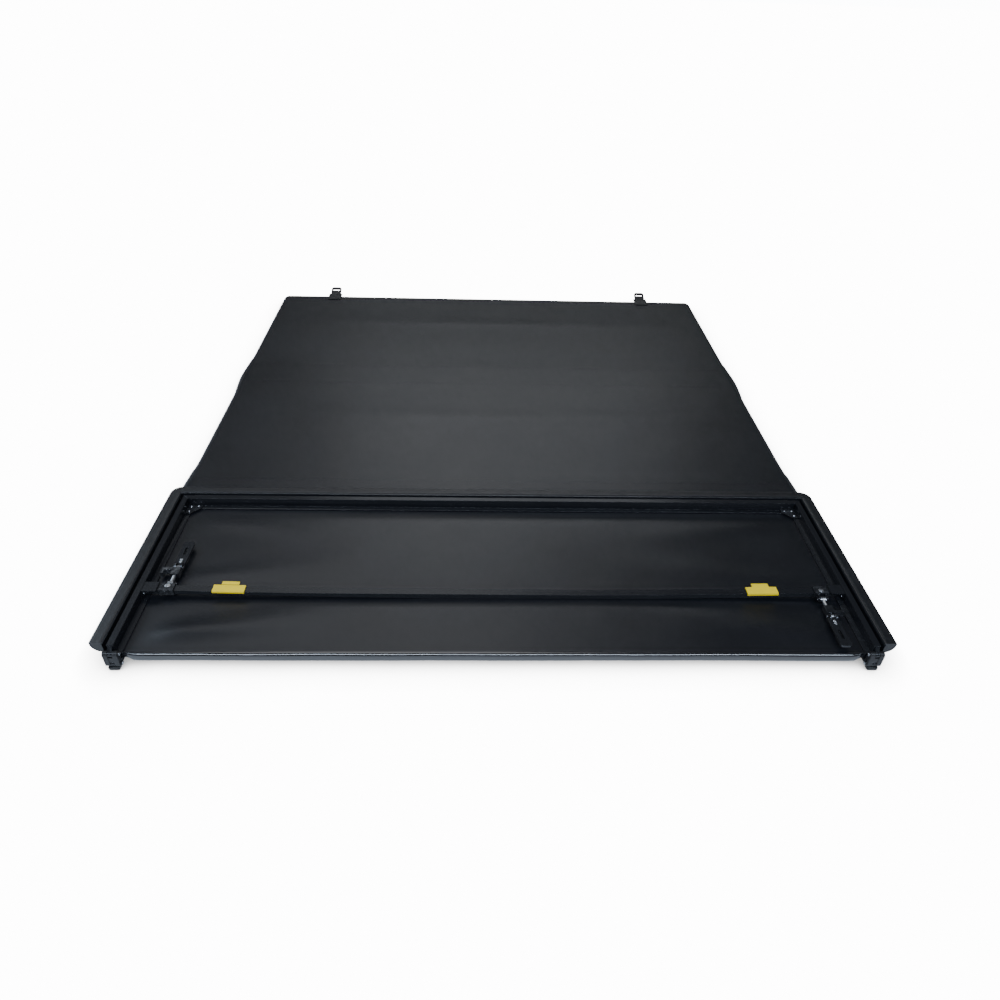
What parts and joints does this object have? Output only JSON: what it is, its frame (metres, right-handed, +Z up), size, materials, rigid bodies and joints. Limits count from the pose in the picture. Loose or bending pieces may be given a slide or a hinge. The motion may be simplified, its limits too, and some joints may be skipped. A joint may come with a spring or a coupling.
{
  "type": "tonneau cover",
  "caption": "Soft folding truck bed cover: black vinyl over hinged aluminium frames, with bows, swing clamps and strap buckles, tailgate panel folded over.",
  "frame": {"origin": "under the middle of the cover as it lies, with its tailgate panel folded over", "axes": "+Z up, +Y towards the cab along the truck, +X towards the truck's right as seen facing the cab"},
  "size_m": [1.62, 1.917, 0.06],
  "materials": {
    "vinyl": "black pebbled reinforced vinyl, satin",
    "frame_coat": "black powder-coated extruded aluminium, satin",
    "hinge_steel": "black cast hinge links with bare steel pins",
    "bracket_coat": "black coated pressed steel",
    "clamp_metal": "black coated steel, worn bright at the edges",
    "pad_yellow": "yellow moulded plastic",
    "strap_plastic": "black moulded plastic and webbing",
    "seal_rubber": "black bulb seal, matte"
  },
  "bodies": {
    "panel_1": {"side_rail_left_1": "frame_coat", "side_rail_right_1": "frame_coat", "bow_1": "frame_coat", "cab_bar": "frame_coat", "vinyl_panel_1": "vinyl", "edge_hem_cab": "vinyl", "corner_bracket_cab_left": "bracket_coat", "corner_bracket_cab_right": "bracket_coat", "clamp_base_front_left": "bracket_coat", "clamp_base_front_right": "bracket_coat", "strap_buckle_left": "strap_plastic", "strap_buckle_right": "strap_plastic"},
    "panel_2": {"side_rail_left_2": "frame_coat", "side_rail_right_2": "frame_coat", "bow_2": "frame_coat", "vinyl_panel_2": "vinyl", "edge_hem_left_2": "vinyl", "edge_hem_right_2": "vinyl"},
    "panel_3": {"side_rail_left_3": "frame_coat", "side_rail_right_3": "frame_coat", "bow_3": "frame_coat", "vinyl_panel_3": "vinyl", "edge_hem_left_3": "vinyl", "edge_hem_right_3": "vinyl"},
    "panel_4": {"side_rail_left_4": "frame_coat", "side_rail_right_4": "frame_coat", "bow_4": "frame_coat", "tail_bar": "frame_coat", "tail_seal": "seal_rubber", "vinyl_panel_4": "vinyl", "edge_hem_tail": "vinyl", "corner_bracket_tail_left": "bracket_coat", "corner_bracket_tail_right": "bracket_coat", "bow_pad_left": "pad_yellow", "bow_pad_right": "pad_yellow", "clamp_base_rear_left": "bracket_coat", "clamp_base_rear_right": "bracket_coat"},
    "link_12": {"hinge_link_left_12": "hinge_steel", "hinge_link_right_12": "hinge_steel", "vinyl_fold_12": "vinyl"},
    "link_23": {"hinge_link_left_23": "hinge_steel", "hinge_link_right_23": "hinge_steel", "vinyl_fold_23": "vinyl"},
    "link_34": {"hinge_link_left_34": "hinge_steel", "hinge_link_right_34": "hinge_steel", "vinyl_fold_34": "vinyl"},
    "rod_front_left": {"clamp_rod_front_left": "clamp_metal"},
    "jaw_front_left": {"clamp_jaw_front_left": "clamp_metal"},
    "lever_front_left": {"clamp_lever_front_left": "clamp_metal"},
    "rod_front_right": {"clamp_rod_front_right": "clamp_metal"},
    "jaw_front_right": {"clamp_jaw_front_right": "clamp_metal"},
    "lever_front_right": {"clamp_lever_front_right": "clamp_metal"},
    "rod_rear_left": {"clamp_rod_rear_left": "clamp_metal"},
    "jaw_rear_left": {"clamp_jaw_rear_left": "clamp_metal"},
    "lever_rear_left": {"clamp_lever_rear_left": "clamp_metal"},
    "rod_rear_right": {"clamp_rod_rear_right": "clamp_metal"},
    "jaw_rear_right": {"clamp_jaw_rear_right": "clamp_metal"},
    "lever_rear_right": {"clamp_lever_rear_right": "clamp_metal"}
  },
  "joints": [
    {"name": "fold_12", "type": "hinge", "parent": "panel_1", "child": "link_12", "pos_m": [0, 0.30705, 0.017], "axis": [-1, 0, 0], "range_deg": [0, 90], "deforming": ["vinyl_fold_12"]},
    {"name": "fold_12_second", "type": "hinge", "parent": "link_12", "child": "panel_2", "pos_m": [0, 0.21805, 0.017], "axis": [-1, 0, 0], "range_deg": [0, 90], "deforming": ["vinyl_fold_12"]},
    {"name": "fold_23", "type": "hinge", "parent": "panel_2", "child": "link_23", "pos_m": [0, -0.34795, 0.017], "axis": [-1, 0, 0], "range_deg": [0, 90], "deforming": ["vinyl_fold_23"]},
    {"name": "fold_23_second", "type": "hinge", "parent": "link_23", "child": "panel_3", "pos_m": [0, -0.40545, 0.017], "axis": [-1, 0, 0], "range_deg": [0, 90], "deforming": ["vinyl_fold_23"]},
    {"name": "fold_34", "type": "hinge", "parent": "panel_3", "child": "link_34", "pos_m": [0, -0.95195, 0.017], "axis": [-1, 0, 0], "range_deg": [-90, 0], "deforming": ["vinyl_fold_34"]},
    {"name": "fold_34_second", "type": "hinge", "parent": "link_34", "child": "panel_4", "pos_m": [0, -0.95195, 0.043], "axis": [-1, 0, 0], "range_deg": [-90, 0], "deforming": ["vinyl_fold_34"]},
    {"name": "swing_front_left", "type": "hinge", "parent": "panel_1", "child": "rod_front_left", "pos_m": [-0.71, 0.6496, 0.012], "axis": [-1, 0, 0], "range_deg": [-90, 0]},
    {"name": "cam_front_left", "type": "hinge", "parent": "rod_front_left", "child": "lever_front_left", "pos_m": [-0.71, 0.5976, 0.012], "axis": [-1, 0, 0], "range_deg": [-100, 0]},
    {"name": "grip_front_left", "type": "slide", "parent": "rod_front_left", "child": "jaw_front_left", "axis": [0, -1, 0], "range_m": [-0.007, 0]},
    {"name": "swing_front_right", "type": "hinge", "parent": "panel_1", "child": "rod_front_right", "pos_m": [0.71, 0.6896, 0.012], "axis": [1, 0, 0], "range_deg": [-90, 0]},
    {"name": "cam_front_right", "type": "hinge", "parent": "rod_front_right", "child": "lever_front_right", "pos_m": [0.71, 0.7416, 0.012], "axis": [1, 0, 0], "range_deg": [-100, 0]},
    {"name": "grip_front_right", "type": "slide", "parent": "rod_front_right", "child": "jaw_front_right", "axis": [0, 1, 0], "range_m": [-0.007, 0]},
    {"name": "swing_rear_left", "type": "hinge", "parent": "panel_4", "child": "rod_rear_left", "pos_m": [-0.71, -0.75857, 0.048], "axis": [-1, 0, 0], "range_deg": [-90, 0]},
    {"name": "cam_rear_left", "type": "hinge", "parent": "rod_rear_left", "child": "lever_rear_left", "pos_m": [-0.71, -0.70656, 0.048], "axis": [-1, 0, 0], "range_deg": [-100, 0]},
    {"name": "grip_rear_left", "type": "slide", "parent": "rod_rear_left", "child": "jaw_rear_left", "axis": [0, 1, 0], "range_m": [-0.007, 0]},
    {"name": "swing_rear_right", "type": "hinge", "parent": "panel_4", "child": "rod_rear_right", "pos_m": [0.71, -0.79856, 0.048], "axis": [1, 0, 0], "range_deg": [-90, 0]},
    {"name": "cam_rear_right", "type": "hinge", "parent": "rod_rear_right", "child": "lever_rear_right", "pos_m": [0.71, -0.85057, 0.048], "axis": [1, 0, 0], "range_deg": [-100, 0]},
    {"name": "grip_rear_right", "type": "slide", "parent": "rod_rear_right", "child": "jaw_rear_right", "axis": [0, -1, 0], "range_m": [-0.007, 0]}
  ],
  "couplings": [
    {"joint": "fold_12_second", "follows": "fold_12", "ratio": 1},
    {"joint": "fold_23_second", "follows": "fold_23", "ratio": 1},
    {"joint": "fold_34_second", "follows": "fold_34", "ratio": 1},
    {"joint": "grip_front_left", "follows": "cam_front_left", "m_per_rad": 0.00401},
    {"joint": "grip_front_right", "follows": "cam_front_right", "m_per_rad": 0.00401},
    {"joint": "grip_rear_left", "follows": "cam_rear_left", "m_per_rad": 0.00401},
    {"joint": "grip_rear_right", "follows": "cam_rear_right", "m_per_rad": 0.00401}
  ]
}
